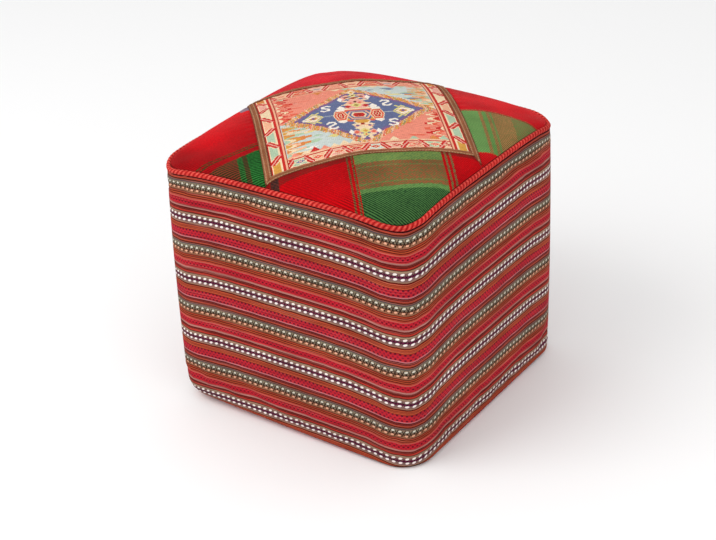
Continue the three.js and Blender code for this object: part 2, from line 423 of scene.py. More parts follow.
class Nodes:
    # a material's node tree, with short calls for the nodes used here

    specular = 0.08

    def __init__(self, name, roughness, sheen=0.0, sheenTint="#ffffff", sheenRoughness=0.5):
        self.material = bpy.data.materials.new(name)
        self.material.use_nodes = True
        self.tree = self.material.node_tree
        self.shader = self.tree.nodes["Principled BSDF"]
        self.shader.inputs["Roughness"].default_value = roughness
        self.shader.inputs["Specular IOR Level"].default_value = self.specular
        self.shader.inputs["Sheen Weight"].default_value = sheen
        self.shader.inputs["Sheen Roughness"].default_value = sheenRoughness
        self.shader.inputs["Sheen Tint"].default_value = linear(sheenTint)

    def node(self, kind, *values, **settings):
        # a new node; each value is linked if the material works it out, and set if it is fixed
        node = self.tree.nodes.new("ShaderNode" + kind)
        for key, value in settings.items():
            setattr(node, key, value)
        for socket, value in zip(node.inputs, values):
            if isinstance(value, Value):
                self.tree.links.new(value.socket, socket)
            else:
                socket.default_value = value
        return node

    def add(self, kind, *values, **settings):
        return Value(self, self.node(kind, *values, **settings).outputs[0])

    def calc(self, operation, *values):
        return self.add("Math", *values, operation=operation)

    def cloth(self):
        # the cloth coordinates of a piece, in millimetres
        parts = self.node("SeparateXYZ", self.add("UVMap", uv_map="cloth"))
        return [Value(self, parts.outputs[i]) * (1 / millimetre) for i in (0, 1)]

    def mix(self, share, first, second, blend="MIX"):
        return self.add("MixRGB", share, first, second, blend_type=blend)

    def smooth(self, value, low, high, bottom=0.0, top=1.0):
        return self.add("MapRange", value, low, high, bottom, top, interpolation_type="SMOOTHSTEP")

    def noise(self, u, v, cells, detail=2.0, shift=0.0):
        # noise from 0 to 1 in lumps of a size along u and along v; another shift gives other lumps
        place = self.add("CombineXYZ", u / cells[0], v / cells[1], shift)
        node = self.node("TexNoise", noise_dimensions="3D")
        self.tree.links.new(place.socket, node.inputs["Vector"])
        node.inputs["Scale"].default_value = 1
        node.inputs["Detail"].default_value = detail
        return Value(self, node.outputs["Fac"])

    def sway(self, u, v, cells, reach, detail=2.0):
        # noise from -reach to reach
        return self.noise(u, v, cells, detail) * (2 * reach) - reach

    def patches(self, u, v, patch):
        # noise that goes from one shade to another between two of its levels
        noise = self.noise(u, v, patch["cells"], patch.get("detail", 2.0), patch.get("shift", 0.0))
        return self.smooth(noise, *patch["levels"], *patch["shades"])

    def stripes(self, place, widths):
        # bands of colour across a place in millimetres; widths lists (width, colour)
        mostStops = 30  # a ramp has room for 32
        total = sum(width for width, _ in widths)
        share = place / total
        colour = None
        start = 0.0
        for first in range(0, len(widths), mostStops):
            begin = start
            node = self.node("ValToRGB", share)
            node.color_ramp.interpolation = "CONSTANT"
            stops = node.color_ramp.elements
            for i, (width, hexColour) in enumerate(widths[first:first + mostStops]):
                stop = stops[i] if i < 2 else stops.new(1)
                stop.position = start / total
                stop.color = linear(hexColour)
                start += width
            ramp = Value(self, node.outputs[0])
            if colour is None:
                colour = ramp
            else:
                colour = self.mix(self.calc("GREATER_THAN", share, begin / total), colour, ramp)
        return colour

    def dots(self, u, v, row, pitch):
        # a row of slanted ovals with soft edges round the line v = centre, as a mask
        inner, outer = 0.7, 1.25
        fromLine = v - row["centre"]
        leaned = u / pitch + row.get("shift", 0.0) + fromLine * (row.get("slant", 0.0) / pitch)
        across = (self.calc("FRACT", leaned) - 0.5) * pitch / row["halfWidth"]
        up = fromLine / row["halfHeight"]
        return self.smooth(across * across + up * up, inner, outer, 1.0, 0.0)

    def within(self, value, low, high):
        # 1 between two limits, 0 outside them
        return abs(value - (low + high) / 2) < (high - low) / 2

    def shaded(self, colour, *shades):
        # a colour made lighter or darker by each of the shades
        for shade in shades:
            colour = self.mix(1.0, colour, self.add("CombineColor", shade, shade, shade), "MULTIPLY")
        return colour

    def wave(self, value, pitch):
        # a smooth wave from 0 to 1 and back over each pitch
        return self.calc("SINE", value * (2 * math.pi / pitch)) * 0.5 + 0.5

    def ridges(self, value, pitch=1):
        # round ridges with sharp grooves between them, one to each pitch
        return abs(self.calc("SINE", value * (math.pi / pitch)))

    def finish(self, colour, height, depth, strength):
        # the finished material; the depth of its relief is in metres
        self.tree.links.new(colour.socket, self.shader.inputs["Base Color"])
        bump = self.node("Bump")
        bump.inputs["Strength"].default_value = strength
        bump.inputs["Distance"].default_value = depth
        self.tree.links.new(height.socket, bump.inputs["Height"])
        self.tree.links.new(bump.outputs[0], self.shader.inputs["Normal"])
        return self.material


# The striped body

body = {
    "columns": 312,
    "sideRows": 96,
    "roundingRows": 6,
    "crownRows": 8,
    # the rings of the flat bottom, as shares of its outline
    "flatShares": (0.02, 0.5, 0.9),
    # how the cloth settles, the most it may move, and the rows beside its seams that stay
    "slack": 0.005,
    "pressure": 0.2,
    "bending": 1,
    "frames": 20,
    "mostMove": 3,
    "calmRows": 2,
    # the front edge is a firm fold, held over this depth from its tip
    "firmEdge": 9,
    # the band's own seam, at the back corner: how deep it lies, how far its stripes miss each other,
    # and how far in from the tip of the corner it may lie
    "seamDepth": 1.4,
    "seamMiss": 2,
    "seamReach": 3,
}


stripes = {
    "topLine": 358.4,
    # how much more the stripes droop toward the floor, at the front corner and at the others,
    # and how much they rise where the front fold stands out
    "frontDroop": 0.25,
    "sideDroop": -0.35,
    "foldRise": 0.5,
    "dashCount": 168,
    "darkPitch": 2 / 3,
    "threadPitch": 1.15,
    "threadBulge": 0.3,
    "dashHeight": 1.2,
    "wobble": {"cells": (22, 60), "reach": 0.9},
    # threads that stray from the colour of their band: levels of the noise, strength and colour
    "streakNoise": {"cells": (130, 1.7), "detail": 1.0, "shift": 9.0},
    "streaks": [((0.58, 0.72), 0.4, "#cc7c70"), ((0.42, 0.3), 0.55, "#641814")],
    "threadShade": {"cells": (40, 0.9), "detail": 1.0, "levels": (0.25, 0.75), "shades": (0.56, 1.0)},
    "drift": {"cells": (90, 110), "shift": 5.0, "levels": (0.2, 0.8), "shades": (0.8, 0.98)},
    # one repeat of the stripes, from the top down: width and colour
    "widths": [
        (1.3, "#c04a30"), (1.6, "#541c14"), (1.2, "#a86858"), (1.6, "#505058"), (7.0, "#968870"),
        (1.2, "#4a2a1e"), (5.8, "#ac7454"), (1.2, "#6c2418"), (1.5, "#cc5030"), (1.3, "#5c1812"),
        (1.7, "#d05834"), (1.2, "#6c1c14"), (1.8, "#cc4a34"), (1.4, "#d86a5c"), (8.8, "#d42034"),
        (1.2, "#c05048"), (1.8, "#cc8a80"), (1.0, "#8a2a20"), (1.3, "#58100f"), (0.8, "#a83428"),
        (1.2, "#4c0e10"), (2.4, "#cc3c2e"), (1.2, "#5c2020"), (2.6, "#b49478"), (4.4, "#94706a"),
        (3.0, "#702048"), (4.4, "#94706a"), (1.4, "#b48c70"), (2.4, "#6c1410"), (1.6, "#d45c38"),
        (0.7, "#8c3420"), (1.4, "#c44e32"), (0.7, "#8c3420"), (1.6, "#d8603c"), (1.2, "#8c2418"),
        (10.2, "#d62838"), (2.0, "#d88084"), (1.3, "#540f14"), (0.9, "#a0342c"), (1.3, "#4c0c10"),
        (1.2, "#c05448"),
    ],
    # rows of raised pale dashes, and of flat dark dots, in the repeat
    "rows": [
        {"centre": 9.3, "halfWidth": 2.3, "halfHeight": 1.5, "slant": 0.35, "colour": "#e0dac8"},
        {
            "centre": 16.2, "halfWidth": 2.3, "halfHeight": 1.5, "slant": 0.35, "shift": 0.1,
            "colour": "#f0b090",
        },
        {"centre": 54.3, "halfWidth": 2.6, "halfHeight": 1.7, "slant": 0.4, "colour": "#fff2ea"},
        {"centre": 61.1, "halfWidth": 2.6, "halfHeight": 1.7, "slant": 0.4, "colour": "#fff0ec"},
    ],
    "darkRows": [
        {"centre": 32.0, "halfWidth": 1.2, "halfHeight": 0.9, "shift": 0.5, "colour": "#8c1828"},
        {"centre": 34.9, "halfWidth": 1.5, "halfHeight": 1.1, "colour": "#641020"},
        {"centre": 37.4, "halfWidth": 1.0, "halfHeight": 0.7, "shift": 0.5, "colour": "#981c28"},
        {"centre": 76.0, "halfWidth": 1.6, "halfHeight": 1.2, "shift": 0.3, "colour": "#68142c"},
        {"centre": 79.8, "halfWidth": 1.5, "halfHeight": 1.0, "shift": 0.8, "colour": "#8c1838"},
        {"centre": 83.6, "halfWidth": 1.6, "halfHeight": 1.2, "shift": 0.3, "colour": "#68142c"},
    ],
    # the dark threads that cross between two rows of dashes: middle line, reach, thickness and colour,
    # then their soft edge in shares of the thickness, and their strength
    "lattices": [(12.7, 4.8, 1.4, "#26160f"), (57.7, 3.6, 0.9, "#3a1024")],
    "latticeEdge": (0.7, 1.4),
    "latticeShare": 0.9,
}


def crossedThreads(nodes, colour, u, place, pitch):
    inner, outer = stripes["latticeEdge"]
    wave = nodes.calc("PINGPONG", u + pitch / 4, pitch / 2) / (pitch / 4) - 1.0
    for middle, reach, thick, shade in stripes["lattices"]:
        for way in (1, -1):
            line = abs(place - middle - wave * (way * reach))
            mask = nodes.smooth(line, thick * inner, thick * outer, stripes["latticeShare"], 0.0)
            colour = nodes.mix(mask, colour, linear(shade))
    return colour


def warpThreads(nodes, u, v):
    # threads side by side, each bulging where the next one does not
    line = v / stripes["threadPitch"]
    step = nodes.calc("FLOOR", line) * math.pi
    bulge = nodes.calc("SINE", u * (math.pi / stripes["threadPitch"]) + step)
    return nodes.ridges(line) * (bulge * stripes["threadBulge"] + (1 - stripes["threadBulge"]))


def stripedCloth():
    nodes = Nodes("stripedCloth", roughness=0.9, sheen=0.03, sheenTint="#ffb8a8")
    u, v = nodes.cloth()
    repeat = sum(width for width, _ in stripes["widths"])
    pitch = perimeter / stripes["dashCount"]
    down = stripes["topLine"] - v + nodes.sway(u, v, **stripes["wobble"])
    place = nodes.calc("FRACT", down / repeat) * repeat
    colour = nodes.stripes(place, stripes["widths"])
    streak = nodes.noise(u, v, **stripes["streakNoise"])
    for levels, share, shade in stripes["streaks"]:
        colour = nodes.mix(nodes.smooth(streak, *levels, 0.0, share), colour, linear(shade))
    colour = crossedThreads(nodes, colour, u, place, pitch)
    for row in stripes["darkRows"]:
        spots = nodes.dots(u, place, row, pitch * stripes["darkPitch"])
        colour = nodes.mix(spots, colour, linear(row["colour"]))
    colour = nodes.shaded(colour, nodes.patches(u, v, stripes["threadShade"]))
    raised = 0.0
    for row in stripes["rows"]:
        mask = nodes.dots(u, place, row, pitch)
        colour = nodes.mix(mask, colour, linear(row["colour"]))
        raised = nodes.calc("MAXIMUM", raised, mask)
    colour = nodes.shaded(colour, nodes.patches(u, v, stripes["drift"]))
    height = warpThreads(nodes, u, v) + raised * stripes["dashHeight"]
    return nodes.finish(colour, height, depth=0.0005, strength=0.8)


def bottomRounding(distance):
    plan = planPoints(distance)
    leftward = np.maximum(-(plan[..., 0] + plan[..., 1]) / cornerTip, 0) ** form["softCornerSharpness"]
    return form["bottomRadius"] + (form["softCornerRadius"] - form["bottomRadius"]) * leftward


def ringAt(plan, z):
    return np.column_stack([plan, np.broadcast_to(z, len(plan))])


def bodyRings():
    # from the middle of the bottom, out and up the sides, to the middle of the crown
    distance = backCorner + np.arange(body["columns"]) * perimeter / body["columns"]
    rounding = bottomRounding(distance)
    line = planPoints(distance)
    bottom = form["floorZ"] + rounding
    top = seamZ(line[:, 0], line[:, 1]) - form["pipingRadius"] - form["pipingGap"]
    rings = [ringAt(planPoints(distance, rounding) * share, form["floorZ"]) for share in body["flatShares"]]
    for i in range(body["roundingRows"] + 1):
        angle = i / body["roundingRows"] * math.pi / 2
        plan = planPoints(distance, rounding * (1 - math.sin(angle)))
        rings.append(ringAt(plan, form["floorZ"] + rounding * (1 - math.cos(angle))))
    for i in range(1, body["sideRows"] + 1):
        share = i / body["sideRows"]
        z = bottom + (top - bottom) * share
        tight = eased(np.interp(z, form["frontFade"], (0, 1, 1, 0)))
        rings.append(ringAt(planPoints(distance, -form["sideBulge"] * arched(share), tight), z))
    plan = planPoints(distance, shoulderInset)
    rings.append(ringAt(plan, top))
    depth = np.full(len(distance), -form["clothThickness"] - form["backingGap"])
    for i in range(body["crownRows"]):
        rings.append(topPoints(plan * (1 - i / body["crownRows"]), depth))
    return rings


def settleCloth(piece, held):
    # the striped cloth, cut a little slack, finds its own shape between the seams that hold it
    mesh = piece.data
    before = np.empty(len(mesh.vertices) * 3)
    mesh.vertices.foreach_get("co", before)
    piece.vertex_groups.new(name="held").add(held, 1.0, "REPLACE")
    modifier = piece.modifiers.new("cloth", "CLOTH")
    modifier.settings.vertex_group_mass = "held"
    modifier.settings.shrink_min = -body["slack"]
    modifier.settings.use_pressure = True
    modifier.settings.uniform_pressure_force = body["pressure"]
    modifier.settings.effector_weights.gravity = 0
    modifier.settings.bending_stiffness = body["bending"]
    modifier.point_cache.frame_start = 1
    modifier.point_cache.frame_end = body["frames"]
    for number in range(1, body["frames"] + 1):
        scene.frame_set(number)
    after = np.empty_like(before)
    settled = piece.evaluated_get(bpy.context.evaluated_depsgraph_get())
    settled.data.vertices.foreach_get("co", after)
    piece.modifiers.remove(modifier)
    piece.vertex_groups.clear()
    scene.frame_set(1)
    move = (after - before).reshape(-1, 3) / millimetre
    size = np.linalg.norm(move, axis=1, keepdims=True)
    largest, mean = round(float(size.max()), 2), round(float(size.mean()), 2)
    print("cloth settled, largest move", largest, "mm, mean", mean, "mm")
    move *= body["mostMove"] * np.tanh(size / body["mostMove"]) / np.maximum(size, tiny)
    mesh.vertices.foreach_set("co", before + (move * millimetre).ravel())
    mesh.update()


def stripeLines(x, y, z):
    # the height of a point of the band in its own cloth, where the stripes run straight
    share = z / form["seamHeight"]
    toFront = np.clip((x - y) / cornerTip, 0, 1)
    growth = stripes["sideDroop"] + (stripes["frontDroop"] - stripes["sideDroop"]) * toFront
    droop = form["seamDroop"] * cornerness(x, y) * (1 + growth * (1 - share))
    outside = np.hypot(np.maximum(abs(x) - flatHalf, 0), np.maximum(abs(y) - flatHalf, 0))
    rise = stripes["foldRise"] * np.maximum(outside - form["cornerRadius"] - form["sideBulge"], 0)
    return z + droop - rise + sagBehind(x, y) * share


def heldPoints(x, y):
    # the bottom, the crown, the rows beside them, and the fold at the front corner
    bottomRows = len(body["flatShares"]) + body["roundingRows"]
    firstRow = bottomRows + body["calmRows"]
    lastRow = bottomRows + body["sideRows"] - body["calmRows"]
    rows = np.arange(len(x)) // body["columns"]
    folded = x - y > 2 * half - form["frontRadius"] * (2 - math.sqrt(2)) - body["firmEdge"]
    return np.flatnonzero((rows < firstRow) | (rows > lastRow) | folded).tolist()


def makeStripedBody(material):
    rings = bodyRings()
    columns = body["columns"]
    faces, steps = loopGrid(len(rings), columns)
    points = np.concatenate(rings)
    x, y, z = points.T
    seam = (np.arange(len(points)) % columns == 0) & (z > form["bottomRadius"] + form["floorZ"])
    seam &= np.hypot(x, y) > cornerTip / 2 - body["seamReach"]
    points[seam, :2] *= 1 - body["seamDepth"] / (cornerTip / 2)
    stripe = stripeLines(x, y, z).reshape(len(rings), columns)
    corners = []
    for face in steps:
        for row, column in face:
            missed = body["seamMiss"] * column / columns
            corners.append((column * perimeter / columns, stripe[row, column % columns] + missed))
    closeEnds(faces, len(rings), columns)
    corners += [(i * perimeter / columns, 0) for i in range(columns - 1, -1, -1)]
    corners += [(i * perimeter / columns, form["seamHeight"]) for i in range(columns)]
    piece = makePiece("striped_cushion", points, faces, corners, material, "striped_body")
    settleCloth(piece, heldPoints(x, y))
    return piece


# The corded seam

cord = {
    "ridges": 217,
    "stepsPerRidge": 8,
    "sides": 18,
    "plies": 2,
    "ridgeDepth": 0.1,
    "ridgeSharpness": 0.7,
    "uneven": {"cells": (4, 2), "reach": 0.45},
    # painted shade: the dark colour in the grooves between the plies
    "paintedGrooveShade": "#8c1014",
    # from the grooves out to the crests: levels and colour; the palest, on the crests, is a painted
    # highlight
    "crests": [((0.1, 0.7), "#c92a24"), ((0.75, 1.2), "#e26a5c")],
    "drift": {"cells": (70, 70), "detail": 1.0, "shift": 4.0, "levels": (0.3, 0.7), "shades": (0.8, 1.05)},
    "threadPitch": 0.9,
}
cordGirth = 2 * math.pi * form["pipingRadius"]


def cordCloth():
    nodes = Nodes("cordCloth", roughness=0.8, sheen=0.04, sheenTint="#ffb0a0")
    u, v = nodes.cloth()
    phase = u * (cord["ridges"] / perimeter) - v * (cord["plies"] / cordGirth)
    crest = nodes.ridges(phase) + nodes.sway(u, v, **cord["uneven"])
    # painted shade in the grooves and painted highlight on the crests, following the ridges of the cord
    colour = linear(cord["paintedGrooveShade"])
    for levels, shade in cord["crests"]:
        colour = nodes.mix(nodes.smooth(crest, *levels), colour, linear(shade))
    colour = nodes.shaded(colour, nodes.patches(u, v, cord["drift"]))
    return nodes.finish(colour, nodes.wave(u + v, cord["threadPitch"]), depth=0.0002, strength=0.4)


def makePiping(material):
    sides = cord["sides"]
    columns = cord["ridges"] * cord["stepsPerRidge"]
    distance = backCorner + np.arange(columns) * perimeter / columns
    around = np.arange(sides)[:, None] * 2 * math.pi / sides
    phase = distance / perimeter * cord["ridges"] - around / (2 * math.pi) * cord["plies"]
    ridge = 1 - cord["ridgeDepth"] * (1 - abs(np.sin(math.pi * phase)) ** cord["ridgeSharpness"])
    out = form["pipingRadius"] * ridge * np.cos(around)
    rise = form["pipingRadius"] * ridge * np.sin(around)
    plan = planPoints(np.broadcast_to(distance, out.shape), form["pipingInset"] - out)
    line = planPoints(distance)
    z = seamZ(line[:, 0], line[:, 1]) + rise
    points = np.concatenate([plan, z[..., None]], -1).reshape(-1, 3)
    faces, steps = loopGrid(sides, columns, closed=True)
    corners = [
        (column * perimeter / columns, row * cordGirth / sides) for face in steps for row, column in face
    ]
    return makePiece("seam_cord", points, faces, corners, material, "top_piping")


# The patchwork top

seams = {
    "dip": 0.7,
    "dipWidth": 3,
    "pucker": 0.45,
    "puckerStart": 3,
    "puckerWidth": 9,
    "puckerPitch": 13,
    "puckerShift": 2,
    "shiftCell": 40,
    "seed": 11,
}


def seamLift(away, along):
    # cloth beside a sewn line dips to it and puckers a little
    dip = -seams["dip"] * np.exp(-away / seams["dipWidth"])
    shift = seams["puckerShift"] * smoothNoise(along, 0 * along, seams["shiftCell"], seams["seed"])
    wave = np.sin(2 * math.pi * along / seams["puckerPitch"] + shift)
    fade = np.exp(-away / seams["puckerWidth"]) * np.minimum(away / seams["puckerStart"], 1)
    return dip + seams["pucker"] * wave * fade


def panelSide(index):
    start = np.array(patchSides[index]["corner"], float)
    along = np.array(patchSides[(index + 1) % 4]["corner"], float) - start
    length = np.linalg.norm(along)
    along /= length
    return start, along, length, np.array([along[1], -along[0]])


def sidePoint(index, share, out):
    start, along, length, outward = panelSide(index)
    bowed = out - patchSides[index]["bow"] * arched(share)
    return start + along * (length * share)[..., None] + outward * bowed[..., None]


def jointDistance(index):
    return index * perimeter / 4 + patchSides[index % 4]["seamShift"]


def jointShare(index, atEnd, out):
    _, along, length, outward = panelSide(index)
    joint = planPoints(jointDistance(index + atEnd), clothInset)
    joint = joint - np.array(patchSides[(index + atEnd) % 4]["corner"])
    return atEnd + (joint @ along) * out / ((joint @ outward) * length)


def betweenJoints(index, out, v):
    gap = form["pieceGap"] / panelSide(index)[2]
    start = jointShare(index, 0, out) + gap
    end = jointShare(index, 1, out) - gap
    return sidePoint(index, start + (end - start) * v, out)


def panelCut(u, v):
    corners = [np.array(side["corner"], float) for side in patchSides]
    inset = np.full(u.shape, form["underTape"])
    point = sidePoint(3, u, inset) * (1 - v)[..., None] + sidePoint(1, 1 - u, inset) * v[..., None]
    point += sidePoint(2, 1 - v, inset) * (1 - u)[..., None] + sidePoint(0, v, inset) * u[..., None]
    blend = [u * (1 - v), u * v, (1 - u) * v, (1 - u) * (1 - v)]
    for corner, weight in zip(corners, blend):
        point -= corner * weight[..., None]
    return point


def tapeCut(index):
    return lambda u, v: betweenJoints(index, patchSides[index]["tapeWidth"] * u, v)


def plaidCut(index):
    inner = patchSides[index]["tapeWidth"] - form["underTape"]
    start, end = jointDistance(index) + form["pieceGap"], jointDistance(index + 1) - form["pieceGap"]

    def cut(u, v):
        edge = planPoints(start + (end - start) * v, clothInset - form["tuck"])
        return betweenJoints(index, np.full(u.shape, inner), v) * (1 - u)[..., None] + edge * u[..., None]

    return cut


panel = {
    "width": 259,
    "length": 240,
    "stepsAcross": 208,
    "stepsAlong": 192,
    "coarse": 16,
    "yarns": {
        "salmon": "#f2917a",
        "coral": "#e8664c",
        "red": "#cc2c26",
        "brick": "#a23322",
        "cream": "#f8dcb4",
        "ivory": "#fdf2e4",
        "paleBlue": "#ccd6d0",
        "mint": "#b4ccac",
        "gold": "#dca048",
        "orange": "#e08848",
        "blue": "#646f96",
        "violet": "#80608c",
        "pink": "#f2ac9c",
        "peach": "#f6b894",
        "brown": "#6a3627",
        "lemon": "#e8d888",
        "slate": "#7888a2",
        "olive": "#a89050",
    },
    "seed": 7,
    "middle": (131, 111),
    "goldReach": (103, 97),
    "blueReach": (83, 77),
    "strokeWidth": 2.5,
    "sideBorder": 18.5,
    "nearBorder": 22,
    "farBorder": 28,
    # lines along the side borders: place from the edge, width and yarn
    "edgeLines": [(0.3, 1.8, "red"), (18.7, 1.6, "red"), (21.0, 3.0, "peach"), (23.1, 1.2, "brick")],
    # the zigzags of the borders: length of two bays, where the first lies, the share of a bay that a
    # slanting bar takes, the gap to the inner edge of the border, and the yarns of the bays
    "zigzags": {
        "near": {
            "period": 50, "shift": 12, "run": 0.5, "gap": 3,
            "fills": ["pink", "salmon", "mint", "peach", "pink", "coral", "paleBlue"],
        },
        "far": {
            "period": 50, "shift": 12, "run": 0.5, "gap": 3,
            "fills": ["pink", "salmon", "peach", "coral"],
        },
        "side": {
            "period": 74, "shift": 29, "run": 0.52, "gap": 2,
            "fills": ["orange", "gold", "mint", "mint", "peach", "cream", "pink"],
        },
    },
    # short streaks in the ground and the blue: number, half length, half width, point and yarns
    "paleStreaks": {
        "count": 150, "reach": (5, 16), "thick": (1.5, 4), "point": 7,
        "yarns": ["ivory", "paleBlue", "mint", "lemon", "slate", "peach", "cream", "paleBlue"],
    },
    "salmonStreaks": {
        "count": 26, "reach": (6, 18), "thick": (0.8, 2), "point": 6,
        "yarns": ["coral", "pink", "salmon", "coral"],
    },
    "warmFlames": ["cream", "red", "salmon", "coral"],
    "coolFlames": ["orange", "cream", "peach", "gold", "mint"],
    # every so many strokes of the gold band, from a first one, take another yarn
    "goldTurns": [(2, 0, "orange"), (7, 3, "coral"), (5, 1, "peach"), (11, 4, "olive")],
    "threadShade": {"cells": (7, 0.8), "detail": 1.0, "levels": (0.25, 0.75), "shades": (0.68, 1.0)},
    "drift": {"cells": (60, 60), "shift": 3.0, "levels": (0.2, 0.8), "shades": (0.97, 1.08)},
}


class Chart:
    # the weaver's chart: one yarn for every cell of the panel, painted shape over shape

    def __init__(self):
        across, along = panel["stepsAcross"], panel["stepsAlong"]
        self.x, self.y = np.meshgrid(
            (np.arange(across) + 0.5) * panel["width"] / across,
            (np.arange(along) + 0.5) * panel["length"] / along,
        )
        self.names = list(panel["yarns"])
        self.cells = np.zeros(self.x.shape, int)
        self.rng = np.random.default_rng(panel["seed"])
        # the field between the borders
        self.left, self.right = panel["sideBorder"], panel["width"] - panel["sideBorder"]
        self.near, self.far = panel["nearBorder"], panel["length"] - panel["farBorder"]

    def paint(self, mask, yarn):
        self.cells[mask] = self.names.index(yarn)

    def anyPlace(self):
        return self.rng.uniform(self.left, self.right), self.rng.uniform(self.near, self.far)

    def box(self, x, y, halfX, halfY):
        return (abs(self.x - x) <= halfX) & (abs(self.y - y) <= halfY)

    def diamond(self, x, y, reachX, reachY):
        return abs(self.x - x) / reachX + abs(self.y - y) / reachY < 1

    def hexagon(self, x, y, halfX, halfY, point):
        # a hexagon that comes to blunt points at its left and right
        return (abs(self.y - y) <= halfY) & (abs(self.x - x) + abs(self.y - y) * point / halfY <= halfX)

    def streak(self, x, y, kind):
        reach, thick = self.rng.uniform(*kind["reach"]), self.rng.uniform(*kind["thick"])
        return self.hexagon(x, y, reach, thick, kind["point"])

    def stroke(self, points, width):
        # a band along a line of points
        mask = np.zeros(self.x.shape, bool)
        for (ax, ay), (bx, by) in zip(points, points[1:]):
            dx, dy = bx - ax, by - ay
            share = np.clip(((self.x - ax) * dx + (self.y - ay) * dy) / (dx * dx + dy * dy), 0, 1)
            mask |= np.hypot(self.x - ax - share * dx, self.y - ay - share * dy) <= width / 2
        return mask

    def wedge(self, x, y, length, height):
        # a flame: a stepped wedge with its base at x, pointing along the sign of its length
        steps, taper = 4, 0.7
        share = (self.x - x) / length
        stepped = np.floor(share * steps) / steps
        return (share >= 0) & (share < 1) & (abs(self.y - y) <= height / 2 * (1 - stepped) ** taper)


def zigzagBorder(chart, along, across, depth, zigzag):
    # bays that point in and out by turns, edged in cream and parted by slanting red bars
    low, high, rim = 1, depth - zigzag["gap"], 2
    place = (along + zigzag["shift"]) / zigzag["period"]
    share = np.clip((abs(place % 1 - 0.5) * 2 - 0.5) / zigzag["run"] + 0.5, 0, 1)
    level = low + (high - low) * share
    bay = np.floor(place * 2 + 0.5).astype(int)
    inside = across < high + rim
    for i, yarn in enumerate(zigzag["fills"]):
        chart.paint(inside & (bay % len(zigzag["fills"]) == i), yarn)
    slope = 2 * (high - low) / (zigzag["period"] * zigzag["run"])
    slanting = (share > 0) & (share < 1)
    toBar = np.where(slanting, abs(across - level) / math.hypot(1, slope), np.inf)
    toEnd = np.minimum(abs(across - low), abs(across - high))
    for away, reach, yarn in (
        (toEnd, 2.3, "cream"), (toBar, 5.6, "cream"), (toBar, 3.9, "red"), (toEnd, 0.9, "red"),
        (toBar, 0.9, "pink"),
    ):
        chart.paint(inside & (away < reach), yarn)


# the line of the hooked figure, in shares of its size
hookLine = [
    (0.9, 0.75), (0.5, 1.1), (-0.5, 0.9), (-0.6, 0.35), (0.6, -0.3), (0.55, -0.9), (-0.45, -1.1),
    (-0.9, -0.7),
]


def sHook(chart, x, y, size, way):
    # a small hooked figure, turned over where way is -1
    narrow, thick = 0.8, 0.42
    points = [(x + a * size * way * narrow, y + b * size) for a, b in hookLine]
    chart.paint(chart.stroke(points, size * thick), "ivory")


def sideFlower(chart, x, y, way):
    # a pointed flower head on a stem, facing out
    tall = 1.15
    for reach, yarn in ((14.5, "lemon"), (11.5, "blue"), (10.5, "cream"), (6.0, "gold"), (3.4, "violet")):
        chart.paint(chart.diamond(x, y, reach, reach * tall), yarn)
    for lift in (-1, 1):
        tip = x - way * 3
        chart.paint(chart.stroke([(tip, y + lift * 6), (tip + way * 17, y + lift * 1.5)], 2.4), "ivory")
        chart.paint(chart.stroke([(tip, y + lift * 12), (tip - way * 5, y + lift * 17)], 2.6), "lemon")
    chart.paint(chart.stroke([(x - way * 14, y), (x - way * 34, y)], 1.6), "paleBlue")

# figures of the blue diamond, each as (shape, x, y, reach across, reach along, yarn) from its foot;
# a shape off the middle line is drawn on both sides
farTree = [
    ("hexagon", 0, 10, 26, 4, "coral"), ("hexagon", 0, 15, 23, 3, "cream"),
    ("hexagon", 24, 13, 7, 3, "ivory"), ("diamond", 22, 20, 6, 9, "ivory"),
    ("hexagon", 0, 22, 17, 6, "pink"), ("diamond", 12, 24, 5, 5, "red"), ("hexagon", 0, 34, 15, 6, "peach"),
    ("diamond", 0, 42, 12, 14, "pink"), ("diamond", 6, 36, 3, 3, "coral"),
    ("diamond", 15, 56, 6, 9, "pink"), ("diamond", 10, 58, 4, 5, "brick"),
    ("diamond", 19, 54, 4, 9, "ivory"), ("diamond", 0, 27, 8, 9, "lemon"),
    ("diamond", 0, 27, 4, 5, "olive"), ("diamond", 14, 31, 8, 3, "cream"),
    ("diamond", 0, 40, 3, 4, "brown"), ("diamond", 13, 45, 7, 3, "cream"),
    ("diamond", 0, 55, 13, 7, "cream"), ("diamond", 0, 55, 8, 4, "brick"),
    ("diamond", 9, 66, 8, 4, "peach"), ("diamond", 0, 67, 6, 8, "lemon"),
    ("diamond", 0, 67, 2.4, 3, "brown"), ("diamond", 0, 80, 6, 12, "cream"),
    ("diamond", 0, 79, 2.6, 5, "gold"),
]
nearTree = [
    ("hexagon", 0, 8, 22, 5, "coral"), ("hexagon", 0, 12, 12, 7, "cream"),
    ("hexagon", 0, 12, 10, 5, "gold"), ("diamond", 25, 10, 7, 6, "ivory"), ("hexagon", 16, 4, 5, 3, "gold"),
    ("hexagon", 0, 22, 16, 3, "cream"), ("hexagon", 0, 27, 13, 4, "peach"),
    ("diamond", 0, 32, 13, 9, "cream"), ("diamond", 8, 25, 3, 3, "violet"),
    ("diamond", 11, 43, 8, 7, "pink"), ("diamond", 11, 43, 4, 4, "coral"),
    ("diamond", 18, 42, 4, 7, "ivory"), ("diamond", 0, 40, 8, 8, "lemon"),
    ("diamond", 0, 40, 3.6, 4, "gold"), ("diamond", 7, 50, 8, 3.4, "cream"),
    ("diamond", 0, 50, 5, 6, "lemon"), ("diamond", 0, 50, 2, 2.4, "coral"),
    ("diamond", 5, 57, 4, 5, "cream"), ("box", 0, 20, 2.4, 3, "brick"),
]
# hexagons one in another, from the outside in: half width, half height and yarn
middleNest = [
    (20, 15, "blue"), (17, 12.5, "peach"), (14, 10.5, "blue"), (11, 8.5, "cream"), (8.5, 6.2, "red"),
    (3.4, 2.4, "brick"),
]
sideNest = [
    (10.5, 16, "cream"), (9, 14.5, "coral"), (6.4, 11, "cream"), (5, 9, "red"), (2.2, 6, "cream"),
    (1.1, 4, "red"),
]


